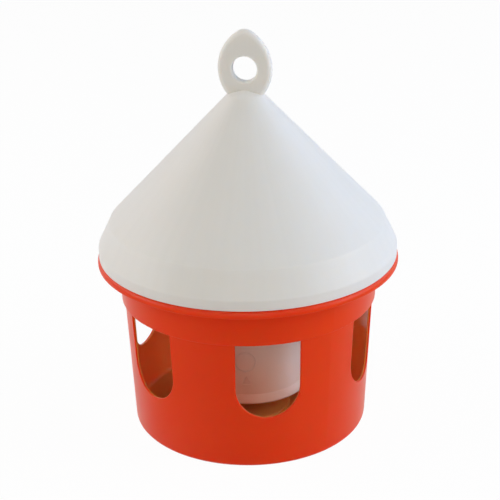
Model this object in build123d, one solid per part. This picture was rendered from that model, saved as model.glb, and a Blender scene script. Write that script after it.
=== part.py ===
"""Hanging pigeon drinker: a conical water reservoir that stands on a round trough base.

Units are millimetres, +Z is up, and the origin is the middle of the base's underside. The hanging
eye lies in the XZ plane, so a hook passes through it along Y. Both pieces share the Z axis. The
reservoir's mouth hangs just above the trough's floor, below the sills of the windows, so the water
stands at the mouth's height and no higher.
"""
from build123d import *

import os
from math import radians, sqrt, tan

# Trough: an injection-moulded dish with a tall wall that leans outwards
wall_foot_radius = 81.2        # outside of the wall, carried down to the ground
wall_draft = 2.5               # degrees
moulded_wall = 2.2             # thickness of the base's wall, floor, collar and ledge
foot_round = 3.0               # outer round between the wall and the ground
floor_round = 3.0              # inner round between the wall and the floor
foot_ring_width = 6.0          # flat ring that the dish stands on
foot_recess = 0.8              # height of the floor's underside inside that ring
boss_radius = 28.0             # raised middle of the floor, hollow from below
boss_rise = 2.4
boss_round = 1.2

# Windows that the birds drink through
window_count = 6
window_turn = 20.0             # degrees from -Y towards +X, to the middle of the first window
window_width = 42.2
window_sill_z = 37.4           # lowest point of the rounded sill
window_top_z = 91.8            # the flat top, level with the collar's lower edge
window_edge_round = 0.5

# Collar, ledge and rim above the windows
collar_step = 1.8              # the collar stands this much proud of the wall
collar_draft = 2.2             # degrees
collar_edge_round = 0.6
ledge_z = 122.5                # top of the ledge, where the reservoir rests
ledge_root_round = 1.5         # outer round between the collar and the ledge
ledge_edge_round = 1.0         # inner edge of the ledge
rim_radius = 101.9             # outside of the rim, where the ledge is turned down
rim_depth = 4.6                # from the ledge's top to the rim's lower edge
rim_wall = 2.0
rim_round = 3.2                # outer round where the ledge turns down
rim_edge_round = 0.6           # both lower edges of the rim

# Reservoir: one blow-moulded hollow piece, from the mouth up to the hanging eye
blown_wall = 2.0
mouth_z = 24.3
neck_radius = 40.0
lip_height = 7.1               # flared band at the mouth
lip_flare = 1.7                # the mouth's edge stands this much proud of the neck
lip_round = 0.8
neck_root_round = 9.0
funnel_slope = 9.0             # degrees that the underside falls towards the neck
drop_depth = 4.0               # the underside drops this far into the collar
drop_round = 1.5
seat_corner_round = 0.6        # between that drop and the flat seat on the ledge
collar_clearance = 0.8         # radial gap between that drop and the collar
rim_reveal = 1.0               # the rim stands this much proud of the reservoir's hem
hem_round = 0.7                # lower outer edge of the reservoir
hem_height = 7.0               # upright band above that edge
hem_top_round = 3.0
crease_z = 146.4               # sharp crease between the skirt and the cone
crease_round = 2.5
cone_point_z = 243.6           # the cone's side would meet the axis here
cone_half_angle = 43.6         # degrees
cone_top_z = 231.5             # the cone's side ends here, under the eye
cone_top_round = 7.0
cap_radius = 3.0               # flat middle of the cap that closes the cone
cap_rise = 3.0                 # the cap rises this much from the cone's side to that flat

# Hanging eye: a solid pinched tab with a pointed-oval outline and a round hole
eye_centre_z = 248.0
eye_half_width = 17.9
eye_side_radius = 28.5         # radius of the two arcs that meet at the tip
eye_tip_round = 8.5
eye_thickness = 7.0
eye_edge_round = 3.2
eye_hole_radius = 8.25
eye_hole_round = 1.5


def wall_radius(z):
    """Outside radius of the dish's wall at height z."""
    return wall_foot_radius + z * tan(radians(wall_draft))


def collar_radius(z):
    """Outside radius of the collar at height z."""
    return wall_radius(window_top_z) + collar_step + (z - window_top_z) * tan(radians(collar_draft))


def cone_radius(z):
    """Outside radius of the cone at height z."""
    return (cone_point_z - z) * tan(radians(cone_half_angle))


collar_inner_radius = collar_radius(ledge_z) - moulded_wall


def turned(corners):
    """Solid of revolution from the corners of a half section, each (radius, height, fillet)."""
    points = [(radius, 0, height) for radius, height, _ in corners]
    rounds = [size for _, _, size in corners]
    outline = FilletPolyline(*points, radius=rounds, close=True)
    return revolve(make_face(outline), axis=Axis.Z)


def inner_corner(before, corner, after, wall):
    """The corner one wall's thickness inside a corner of an outline that is drawn upwards."""
    here = Vector(*corner[:2])
    run_in = (here - Vector(*before[:2])).normalized()
    run_out = (Vector(*after[:2]) - here).normalized()
    side_in = Vector(-run_in.Y, run_in.X)
    side_out = Vector(-run_out.Y, run_out.X)
    inside = here + (side_in + side_out) * (wall / (1 + side_in.dot(side_out)))
    turns_out = run_in.cross(run_out).Z > 0
    size = corner[2] - wall if turns_out else corner[2] + wall
    return (inside.X, inside.Y, max(size, 0))


def make_dish():
    """The base without its windows: floor, wall, collar, ledge and turned-down rim in one section."""
    floor_z = foot_recess + moulded_wall
    boss_z = floor_z + boss_rise
    boss_hollow_radius = boss_radius - moulded_wall
    ring_inner_radius = wall_foot_radius - foot_round - foot_ring_width
    step_z = window_top_z + moulded_wall
    ledge_under_z = ledge_z - moulded_wall
    rim_under_z = ledge_z - rim_depth
    outside = [
        (0, boss_z - moulded_wall, 0),
        (boss_hollow_radius, boss_z - moulded_wall, 0),
        (boss_hollow_radius, foot_recess, 0),
        (ring_inner_radius, foot_recess, 0),
        (ring_inner_radius, 0, 0),
        (wall_radius(0), 0, foot_round),
        (wall_radius(window_top_z), window_top_z, 0),
        (collar_radius(window_top_z), window_top_z, collar_edge_round),
        (collar_radius(ledge_under_z), ledge_under_z, ledge_root_round),
        (rim_radius - rim_wall, ledge_under_z, rim_round - rim_wall),
        (rim_radius - rim_wall, rim_under_z, rim_edge_round),
        (rim_radius, rim_under_z, rim_edge_round),
        (rim_radius, ledge_z, rim_round),
    ]
    inside = [
        (collar_inner_radius, ledge_z, ledge_edge_round),
        (collar_radius(step_z) - moulded_wall, step_z, 0),
        (wall_radius(step_z) - moulded_wall, step_z, 0),
        (wall_radius(floor_z) - moulded_wall, floor_z, floor_round),
        (boss_radius, floor_z, 0),
        (boss_radius, boss_z, boss_round),
        (0, boss_z, 0),
    ]
    return turned(outside + inside)


def make_window_cutter():
    """A bar along -Y with the outline of a window: flat top, straight sides, half-round sill."""
    half = window_width / 2
    spring_z = window_sill_z + half
    outline = Curve() + Polyline(
        (-half, 0, spring_z), (-half, 0, window_top_z), (half, 0, window_top_z), (half, 0, spring_z)
    )
    outline += ThreePointArc((half, 0, spring_z), (0, 0, window_sill_z), (-half, 0, spring_z))
    bar = extrude(make_face(outline), amount=collar_radius(ledge_z), dir=(0, -1, 0))
    return bar - Cylinder(neck_radius, 2 * ledge_z)


def is_window_edge(edge):
    """True for the edges where a window's sides and sill meet the faces of the wall."""
    middle = edge @ 0.5
    crosses_wall = edge.geom_type == GeomType.LINE
    return window_sill_z - 1 < middle.Z < window_top_z - 1 and not crosses_wall


def make_trough_base():
    """The dish with its windows cut, and their edges eased inside and out."""
    pitch = 360 / window_count
    seam_turn = window_turn + pitch / 2 - 90
    base = make_dish().rotate(Axis.Z, seam_turn)
    cutter = make_window_cutter()
    for index in range(window_count):
        base -= cutter.rotate(Axis.Z, window_turn + index * pitch)
    return fillet(base.edges().filter_by(is_window_edge), window_edge_round)


def make_bottle():
    """The hollow reservoir below the eye: one outline and its parallel, one wall apart."""
    drop_radius = collar_inner_radius - collar_clearance
    drop_z = ledge_z - drop_depth
    neck_top_z = drop_z - (drop_radius - neck_radius) * tan(radians(funnel_slope))
    hem_radius = rim_radius - rim_reveal
    outside = [
        (neck_radius + lip_flare, mouth_z, lip_round),
        (neck_radius, mouth_z + lip_height, 0),
        (neck_radius, neck_top_z, neck_root_round),
        (drop_radius, drop_z, drop_round),
        (drop_radius, ledge_z, seat_corner_round),
        (hem_radius, ledge_z, hem_round),
        (hem_radius, ledge_z + hem_height, hem_top_round),
        (cone_radius(crease_z), crease_z, crease_round),
        (cone_radius(cone_top_z), cone_top_z, cone_top_round),
        (cap_radius, cone_top_z + cap_rise, 0),
        (0, cone_top_z + cap_rise, 0),
    ]
    inside = [inner_corner(*three, blown_wall) for three in zip(outside, outside[1:], outside[2:])]
    lip_run = Vector(*outside[1][:2]) - Vector(*outside[0][:2])
    mouth_wall = blown_wall * lip_run.length / lip_run.Y
    mouth = (neck_radius + lip_flare - mouth_wall, mouth_z, 0)
    top = (0, cone_top_z + cap_rise - blown_wall, 0)
    return turned(outside + [top] + inside[::-1] + [mouth])


def make_eye():
    """The hanging eye, cut off inside the cone's cap, where it becomes one with the cone."""
    offset_x = eye_side_radius - eye_half_width
    half_height = sqrt(eye_side_radius**2 - offset_x**2)
    foot, tip = (0, 0, eye_centre_z - half_height), (0, 0, eye_centre_z + half_height)
    outline = ThreePointArc(foot, (eye_half_width, 0, eye_centre_z), tip)
    outline += ThreePointArc(tip, (-eye_half_width, 0, eye_centre_z), foot)
    face = make_face(outline)
    face = fillet(face.vertices().sort_by(Axis.Z)[-1], eye_tip_round)
    tab = extrude(face, amount=eye_thickness / 2, both=True)
    outer_edges = tab.edges().filter_by(Plane.XZ)
    tab = fillet(outer_edges, eye_edge_round)
    centre = Location((0, 0, eye_centre_z))
    hole = centre * Cylinder(eye_hole_radius, 2 * eye_thickness, rotation=(90, 0, 0))
    bored = tab - hole
    tab = fillet(new_edges(tab, hole, combined=bored), eye_hole_round)
    keep_z = cone_top_z - blown_wall / 2
    below = Box(4 * eye_half_width, 4 * eye_thickness, 4 * eye_half_width)
    return tab - below.moved(Location((0, 0, keep_z - 2 * eye_half_width)))


def make_reservoir():
    """Bottle and eye in one piece."""
    return make_bottle() + make_eye()


os.makedirs("parts", exist_ok=True)
export_step(make_trough_base(), "parts/trough_base.step")
export_step(make_reservoir(), "parts/reservoir.step")
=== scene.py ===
"""Looks of the hanging pigeon drinker: white polyethylene reservoir in an orange-red trough base."""

from math import cos, pi, radians, sin, tan

import bpy
from mathutils import Matrix, Vector


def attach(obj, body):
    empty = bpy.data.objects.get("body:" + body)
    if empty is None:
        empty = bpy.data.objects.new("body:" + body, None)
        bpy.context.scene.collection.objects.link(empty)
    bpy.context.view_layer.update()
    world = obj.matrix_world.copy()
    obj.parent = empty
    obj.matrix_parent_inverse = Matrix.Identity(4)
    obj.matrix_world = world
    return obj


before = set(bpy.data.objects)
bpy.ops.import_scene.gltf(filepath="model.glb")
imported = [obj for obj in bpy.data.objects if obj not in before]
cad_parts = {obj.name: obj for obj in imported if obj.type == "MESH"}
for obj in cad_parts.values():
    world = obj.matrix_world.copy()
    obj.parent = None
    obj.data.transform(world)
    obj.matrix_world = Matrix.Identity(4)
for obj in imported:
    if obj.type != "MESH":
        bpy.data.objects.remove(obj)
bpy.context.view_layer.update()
bpy.ops.object.select_all(action="DESELECT")

MM = 0.001

# Camera: its place and aim are found from the object's circles in the photo
PHOTO_WIDTH_PX = 500
CAMERA_FOCAL_PX = 1261.2
SENSOR_MM = 36.0
CAMERA_DISTANCE = 793.7 * MM
CAMERA_HEIGHT = 453.2 * MM
CAMERA_AZIMUTH = 11.8
CAMERA_PITCH = 22.70
CAMERA_YAW = 0.10
CAMERA_ROLL = -0.89

# Soft lamps: name, azimuth from -Y towards +X, elevation, side of the square, watts, colour
LAMP_DISTANCE = 1.6
LAMPS = [
    ("right_back", 130, 30, 0.9, 5.0, "#b8d0ff"),
    ("right_side", 90, 25, 0.9, 14.4, "#eff4ff"),
    ("front", 10, 25, 0.9, 5.6, "#fff1dc"),
    ("left_side", -70, 25, 0.9, 9.1, "#fffdfd"),
    ("left_back", -110, 30, 0.9, 4.3, "#fff0ed"),
    ("overhead", 180, 80, 1.2, 3.2, "#eefaff"),
]
WORLD_COLOUR = "#ffffff"
WORLD_STRENGTH = 0.08

# Measures that the patterns and the marks follow
PARTING_WIDTH = 0.5 * MM
NECK_RADIUS = 40.0 * MM
WALL_MIDDLE_RADIUS = 80.1 * MM
WALL_DRAFT = 2.5
MARK_PROUD = 0.3 * MM


def linear(hex_colour):
    """Linear RGBA of an sRGB hex colour."""
    channels = [int(hex_colour[i:i + 2], 16) / 255 for i in (1, 3, 5)]
    return [c / 12.92 if c <= 0.04045 else ((c + 0.055) / 1.055) ** 2.4 for c in channels] + [1.0]


def add_node(tree, kind, links=None, **settings):
    """A shader node with its settings; links maps an input to a value or to another node's output."""
    node = tree.nodes.new(kind)
    for name, value in settings.items():
        setattr(node, name, value)
    for name, value in (links or {}).items():
        socket = node.inputs[name]
        if isinstance(value, bpy.types.NodeSocket):
            tree.links.new(value, socket)
        else:
            socket.default_value = value
    return node


def new_tree(data):
    """The emptied node tree of a material or a world."""
    data.use_nodes = True
    data.node_tree.nodes.clear()
    return data.node_tree


def make_camera():
    """Camera at the photo's viewing angle."""
    data = bpy.data.cameras.new("photo_camera")
    data.sensor_width = SENSOR_MM
    data.lens = CAMERA_FOCAL_PX * SENSOR_MM / PHOTO_WIDTH_PX
    camera = bpy.data.objects.new("photo_camera", data)
    bpy.context.scene.collection.objects.link(camera)
    turn = radians(CAMERA_AZIMUTH)
    camera.location = (CAMERA_DISTANCE * sin(turn), -CAMERA_DISTANCE * cos(turn), CAMERA_HEIGHT)
    aim = Matrix.Rotation(turn - radians(CAMERA_YAW), 4, "Z")
    tilt = Matrix.Rotation(pi / 2 - radians(CAMERA_PITCH), 4, "X")
    roll = Matrix.Rotation(radians(CAMERA_ROLL), 4, "Z")
    camera.rotation_euler = (aim @ tilt @ roll).to_euler()
    bpy.context.scene.camera = camera


def moulded_polypropylene():
    """Polypropylene, injection moulded in a fine-blasted steel mould and pigmented right through.

    The pigment gives a deep, even orange-red that stays saturated face on. The satin skin gives a
    broad pale sheen only where the eye grazes it. The melt's flow leaves faint clouds in the colour.
    """
    material = bpy.data.materials.new("orange_red_polypropylene")
    tree = new_tree(material)
    place = add_node(tree, "ShaderNodeTexCoord").outputs["Object"]
    # Flow clouds about 30 mm across, 2 percent of the colour
    clouds = add_node(tree, "ShaderNodeTexNoise", {"Vector": place, "Scale": 33.0, "Detail": 2.0})
    pigment = add_node(tree, "ShaderNodeMix", {
        0: clouds.outputs["Fac"], 6: linear("#ee4312"), 7: linear("#f44816"),
    }, data_type="RGBA")
    # Painted light: the inner half of the wall is painted paler, standing in for light that falls into the trough
    level = add_node(tree, "ShaderNodeVectorMath", {0: place, 1: (1.0, 1.0, 0.0)}, operation="MULTIPLY")
    reach = add_node(tree, "ShaderNodeVectorMath", {0: level.outputs[0]}, operation="LENGTH")
    axes = add_node(tree, "ShaderNodeSeparateXYZ", {"Vector": place})
    wall = add_node(tree, "ShaderNodeMath", {
        0: axes.outputs["Z"], 1: tan(radians(WALL_DRAFT)), 2: WALL_MIDDLE_RADIUS,
    }, operation="MULTIPLY_ADD")
    depth = add_node(tree, "ShaderNodeMath", {0: wall.outputs[0], 1: reach.outputs["Value"]}, operation="SUBTRACT")
    paler_inside_painted_light = add_node(tree, "ShaderNodeMapRange", {
        "Value": depth.outputs[0], "From Min": -0.3 * MM, "From Max": 0.3 * MM,
    })
    colour = add_node(tree, "ShaderNodeMix", {
        0: paler_inside_painted_light.outputs[0], 6: pigment.outputs[2], 7: linear("#fb9a56"),
    }, data_type="RGBA")
    # Blasted skin with grains of 0.8 mm, drawn coarser than the real 0.1 mm so that it shows
    grain = add_node(tree, "ShaderNodeTexNoise", {"Vector": place, "Scale": 1250.0, "Detail": 2.0})
    # Slow waves of the wall, about 25 mm long and a few hundredths of a millimetre deep
    waves = add_node(tree, "ShaderNodeTexNoise", {"Vector": place, "Scale": 40.0, "Detail": 1.0})
    wavy = add_node(tree, "ShaderNodeBump", {
        "Height": waves.outputs["Fac"], "Strength": 1.0, "Distance": 0.1 * MM,
    })
    bump = add_node(tree, "ShaderNodeBump", {
        "Height": grain.outputs["Fac"], "Strength": 0.5, "Distance": 0.03 * MM, "Normal": wavy.outputs["Normal"],
    })
    gloss = add_node(tree, "ShaderNodeMapRange", {
        "Value": clouds.outputs["Fac"], "From Min": 0.3, "From Max": 0.7, "To Min": 0.30, "To Max": 0.38,
    })
    skin = add_node(tree, "ShaderNodeBsdfPrincipled", {
        "Base Color": colour.outputs[2],
        "Roughness": gloss.outputs[0],
        "IOR": 1.49,
        "Specular IOR Level": 0.15,
        "Subsurface Weight": 1.0,
        "Subsurface Radius": (1.0, 0.15, 0.08),
        "Subsurface Scale": 5.0 * MM,
        "Normal": bump.outputs["Normal"],
    })
    output = add_node(tree, "ShaderNodeOutputMaterial")
    tree.links.new(skin.outputs["BSDF"], output.inputs["Surface"])
    return material


def blown_polyethylene():
    """High-density polyethylene, natural white, blow moulded between two blasted mould halves.

    The wall lets a little light in, which softens its shading. The blasted halves give a satin grain,
    the stretched tube faint lines that run from the eye to the rim, and the joint between the halves
    one thin raised line around the piece.
    """
    material = bpy.data.materials.new("white_polyethylene")
    tree = new_tree(material)
    place = add_node(tree, "ShaderNodeTexCoord").outputs["Object"]
    # Clouds about 40 mm across where the wall is a little thicker or thinner
    clouds = add_node(tree, "ShaderNodeTexNoise", {"Vector": place, "Scale": 25.0, "Detail": 2.0})
    # Lines of the stretched tube: one pattern per direction around the axis, about 6 mm apart at the hem
    level = add_node(tree, "ShaderNodeVectorMath", {0: place, 1: (1.0, 1.0, 0.0)}, operation="MULTIPLY")
    around = add_node(tree, "ShaderNodeVectorMath", {0: level.outputs[0]}, operation="NORMALIZE")
    lines = add_node(tree, "ShaderNodeTexNoise", {"Vector": around.outputs[0], "Scale": 16.0, "Detail": 3.0})
    both = add_node(tree, "ShaderNodeMath", {
        0: clouds.outputs["Fac"], 1: lines.outputs["Fac"], 2: 0.5,
    }, operation="MULTIPLY_ADD")
    shade = add_node(tree, "ShaderNodeMapRange", {"Value": both.outputs[0], "From Min": 0.5, "From Max": 1.0})
    resin = add_node(tree, "ShaderNodeMix", {
        0: shade.outputs[0], 6: linear("#ecebe6"), 7: linear("#f0efea"),
    }, data_type="RGBA")
    # Painted light: the neck is painted pinkish as red bounce light from the base, stronger near the floor and
    # fading on its lamp-lit +X side
    axes = add_node(tree, "ShaderNodeSeparateXYZ", {"Vector": place})
    low = add_node(tree, "ShaderNodeMapRange", {
        "Value": axes.outputs["Z"], "From Min": 25 * MM, "From Max": 115 * MM, "To Min": 1.0, "To Max": 0.0,
    })
    fade_on_lit_side = add_node(tree, "ShaderNodeMapRange", {
        "Value": axes.outputs["X"], "From Min": -10 * MM, "From Max": 35 * MM, "To Min": 1.0, "To Max": 0.15,
    })
    painted_red_bounce = add_node(tree, "ShaderNodeMath", {0: low.outputs[0], 1: fade_on_lit_side.outputs[0]}, operation="MULTIPLY")
    colour = add_node(tree, "ShaderNodeMix", {
        0: painted_red_bounce.outputs[0], 6: resin.outputs[2], 7: linear("#fdae90"),
    }, data_type="RGBA")
    # Joint of the two mould halves, in the plane of the eye
    aside = add_node(tree, "ShaderNodeMath", {0: axes.outputs["Y"]}, operation="ABSOLUTE")
    joint = add_node(tree, "ShaderNodeMapRange", {
        "Value": aside.outputs[0], "From Min": 0.0, "From Max": PARTING_WIDTH, "To Min": 1.0, "To Max": 0.0,
    }, interpolation_type="SMOOTHSTEP")
    ridge = add_node(tree, "ShaderNodeBump", {"Height": joint.outputs[0], "Strength": 1.0, "Distance": 0.25 * MM})
    # Blasted skin with grains of 1 mm, drawn coarser than the real 0.3 mm so that it shows
    grain = add_node(tree, "ShaderNodeTexNoise", {"Vector": place, "Scale": 1000.0, "Detail": 3.0})
    bump = add_node(tree, "ShaderNodeBump", {
        "Height": grain.outputs["Fac"], "Strength": 0.6, "Distance": 0.06 * MM, "Normal": ridge.outputs["Normal"],
    })
    skin = add_node(tree, "ShaderNodeBsdfPrincipled", {
        "Base Color": colour.outputs[2],
        "Roughness": 0.48,
        "IOR": 1.54,
        "Specular IOR Level": 0.3,
        "Subsurface Weight": 0.8,
        "Subsurface Radius": (1.0, 0.9, 0.8),
        "Subsurface Scale": 2.5 * MM,
        "Normal": bump.outputs["Normal"],
    })
    output = add_node(tree, "ShaderNodeOutputMaterial")
    tree.links.new(skin.outputs["BSDF"], output.inputs["Surface"])
    return material


def wrap_on_neck(piece, azimuth, height):
    """Lay a flat piece around the neck: its X runs round the wall and its Z stands up."""
    for vertex in piece.data.vertices:
        turn = radians(azimuth) + vertex.co.x / NECK_RADIUS
        radius = NECK_RADIUS - vertex.co.y
        vertex.co = (radius * sin(turn), -radius * cos(turn), height + vertex.co.z)


def make_neck_mark(name, material, radius, sides, azimuth, height):
    """A plain raised outline moulded on the neck, a ring or a triangle, half sunk in the wall."""
    bpy.ops.object.select_all(action="DESELECT")
    bpy.ops.mesh.primitive_torus_add(
        major_segments=sides, minor_segments=8, major_radius=radius, minor_radius=MARK_PROUD,
        rotation=(pi / 2, 0, 0),
    )
    piece = bpy.context.object
    piece.name = name
    bpy.ops.object.transform_apply(location=True, rotation=True, scale=True)
    bpy.ops.object.mode_set(mode="EDIT")
    bpy.ops.mesh.select_all(action="SELECT")
    if sides == 3:
        bpy.ops.transform.rotate(value=-pi / 6, orient_axis="Y", center_override=(0, 0, 0))
        bpy.ops.mesh.subdivide(number_cuts=5)
    bpy.ops.mesh.normals_make_consistent(inside=False)
    bpy.ops.object.mode_set(mode="OBJECT")
    bpy.ops.object.shade_smooth()
    wrap_on_neck(piece, azimuth, height)
    piece.data.materials.append(material)
    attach(piece, "root")


def dress_cad_nodes(finishes):
    """The CAD nodes keep their form and take the real finishes."""
    for name, material in finishes.items():
        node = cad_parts[name]
        node.data.materials.clear()
        node.data.materials.append(material)


def seen_directly(tree):
    """1 for what the camera sees, straight or in a reflection or through glass, and 0 for lighting."""
    rays = add_node(tree, "ShaderNodeLightPath")
    mirrored = add_node(tree, "ShaderNodeMath", {
        0: rays.outputs["Is Camera Ray"], 1: rays.outputs["Is Glossy Ray"],
    }, operation="MAXIMUM")
    either = add_node(tree, "ShaderNodeMath", {
        0: mirrored.outputs[0], 1: rays.outputs["Is Transmission Ray"],
    }, operation="MAXIMUM")
    return either.outputs[0]


def make_floor():
    """Pale floor that shows white to the camera and still holds the soft shadow."""
    bpy.ops.mesh.primitive_plane_add(size=12.0, location=(0, 0, 0))
    floor = bpy.context.object
    floor.name = "studio_floor"
    material = bpy.data.materials.new("pale_studio_floor")
    tree = new_tree(material)
    # Matte paper sweep: fine fibre mottling, too faint to see on white
    place = add_node(tree, "ShaderNodeTexCoord").outputs["Object"]
    fibres = add_node(tree, "ShaderNodeTexNoise", {"Vector": place, "Scale": 500.0, "Detail": 3.0})
    tone = add_node(tree, "ShaderNodeMix", {
        0: fibres.outputs["Fac"], 6: linear("#eeeeee"), 7: linear("#f2f2f2"),
    }, data_type="RGBA")
    paper = add_node(tree, "ShaderNodeBsdfDiffuse", {"Color": tone.outputs[2]})
    white = add_node(tree, "ShaderNodeEmission", {"Color": (1.0, 1.0, 1.0, 1.0), "Strength": 1.0})
    share = add_node(tree, "ShaderNodeMath", {0: seen_directly(tree), 1: 0.97}, operation="MULTIPLY")
    mix = add_node(tree, "ShaderNodeMixShader", {0: share.outputs[0], 1: paper.outputs[0], 2: white.outputs[0]})
    output = add_node(tree, "ShaderNodeOutputMaterial")
    tree.links.new(mix.outputs[0], output.inputs["Surface"])
    floor.data.materials.append(material)


def make_world():
    """Even pale surroundings: white where they are seen, softer as a light."""
    world = bpy.data.worlds.new("pale_surroundings")
    bpy.context.scene.world = world
    tree = new_tree(world)
    white = add_node(tree, "ShaderNodeBackground", {"Color": (1.0, 1.0, 1.0, 1.0), "Strength": 1.0})
    light = add_node(tree, "ShaderNodeBackground", {"Color": linear(WORLD_COLOUR), "Strength": WORLD_STRENGTH})
    mix = add_node(tree, "ShaderNodeMixShader", {0: seen_directly(tree), 1: light.outputs[0], 2: white.outputs[0]})
    output = add_node(tree, "ShaderNodeOutputWorld")
    tree.links.new(mix.outputs[0], output.inputs["Surface"])


def light_the_set():
    """Square soft lamps around the drinker, each aimed at its middle: cool right, warm left."""
    target = Vector((0, 0, 0.13))
    for name, azimuth, elevation, side, watts, colour in LAMPS:
        a, e = radians(azimuth), radians(elevation)
        back = Vector((sin(a) * cos(e), -cos(a) * cos(e), sin(e)))
        data = bpy.data.lights.new(name, "AREA")
        data.size = side
        data.energy = watts
        data.color = linear(colour)[:3]
        lamp = bpy.data.objects.new(name, data)
        lamp.location = target + back * LAMP_DISTANCE
        lamp.rotation_mode = "QUATERNION"
        lamp.rotation_quaternion = (-back).to_track_quat("-Z", "Y")
        bpy.context.scene.collection.objects.link(lamp)


red = moulded_polypropylene()
white = blown_polyethylene()
dress_cad_nodes({"trough_base": red, "reservoir": white})
make_neck_mark("neck_ring_mark", white, 7.0 * MM, 64, 7.1, 56.0 * MM)
make_neck_mark("neck_triangle_mark", white, 4.0 * MM, 3, 8.3, 41.0 * MM)
make_floor()
make_world()
light_the_set()
make_camera()
bpy.context.scene.view_settings.view_transform = "Standard"
